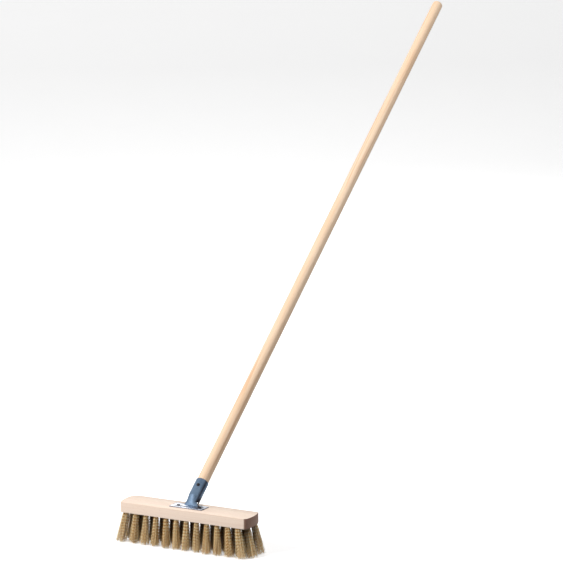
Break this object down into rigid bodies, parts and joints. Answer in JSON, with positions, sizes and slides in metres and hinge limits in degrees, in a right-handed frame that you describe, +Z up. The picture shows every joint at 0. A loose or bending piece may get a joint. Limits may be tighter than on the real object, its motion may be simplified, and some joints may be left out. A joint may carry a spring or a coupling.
{
  "type": "push broom",
  "caption": "Push broom with a wooden block, rows of crimped wire tufts, a sheet-steel handle socket and a long round wooden handle that leans back from the block.",
  "frame": {"origin": "on the floor at the plane of the bristle tips, under the centre of the block", "axes": "+X along the block to the right, +Y the way the handle leans (away from the sweeper's stroke), +Z up"},
  "size_m": [0.3093, 1.2081, 1.035],
  "materials": {
    "block_wood": "planed pale beech, unvarnished, with short fine flecks",
    "handle_wood": "turned pine, straight grain along the handle, sanded and unvarnished",
    "socket_steel": "rolled sheet steel, zinc plated with a bluish tint, satin",
    "plate_steel": "flat sheet steel, bright zinc plating",
    "screw_steel": "darkened steel screws with straight slots",
    "anchor_steel": "plain flat steel wire",
    "bristle_wire": "crimped round wire with a brassy coat, bundled in tufts with ragged tips"
  },
  "bodies": {
    "root": {"block": "block_wood", "base_plate": "plate_steel", "socket_tube": "socket_steel", "plate_screws": "screw_steel", "handle_screw": "screw_steel", "handle": "handle_wood", "anchor_row_a": "anchor_steel", "anchor_row_b": "anchor_steel", "anchor_row_c": "anchor_steel", "anchor_row_d": "anchor_steel", "tuft_a1": "bristle_wire", "tuft_a2": "bristle_wire", "tuft_a3": "bristle_wire", "tuft_a4": "bristle_wire", "tuft_a5": "bristle_wire", "tuft_a6": "bristle_wire", "tuft_a7": "bristle_wire", "tuft_a8": "bristle_wire", "tuft_a9": "bristle_wire", "tuft_a10": "bristle_wire", "tuft_a11": "bristle_wire", "tuft_a12": "bristle_wire", "tuft_b1": "bristle_wire", "tuft_b2": "bristle_wire", "tuft_b3": "bristle_wire", "tuft_b4": "bristle_wire", "tuft_b5": "bristle_wire", "tuft_b6": "bristle_wire", "tuft_b7": "bristle_wire", "tuft_b8": "bristle_wire", "tuft_b9": "bristle_wire", "tuft_b10": "bristle_wire", "tuft_b11": "bristle_wire", "tuft_b12": "bristle_wire", "tuft_c1": "bristle_wire", "tuft_c2": "bristle_wire", "tuft_c3": "bristle_wire", "tuft_c4": "bristle_wire", "tuft_c5": "bristle_wire", "tuft_c6": "bristle_wire", "tuft_c7": "bristle_wire", "tuft_c8": "bristle_wire", "tuft_c9": "bristle_wire", "tuft_c10": "bristle_wire", "tuft_c11": "bristle_wire", "tuft_c12": "bristle_wire", "tuft_d1": "bristle_wire", "tuft_d2": "bristle_wire", "tuft_d3": "bristle_wire", "tuft_d4": "bristle_wire", "tuft_d5": "bristle_wire", "tuft_d6": "bristle_wire", "tuft_d7": "bristle_wire", "tuft_d8": "bristle_wire", "tuft_d9": "bristle_wire", "tuft_d10": "bristle_wire", "tuft_d11": "bristle_wire", "tuft_d12": "bristle_wire"}
  },
  "joints": []
}
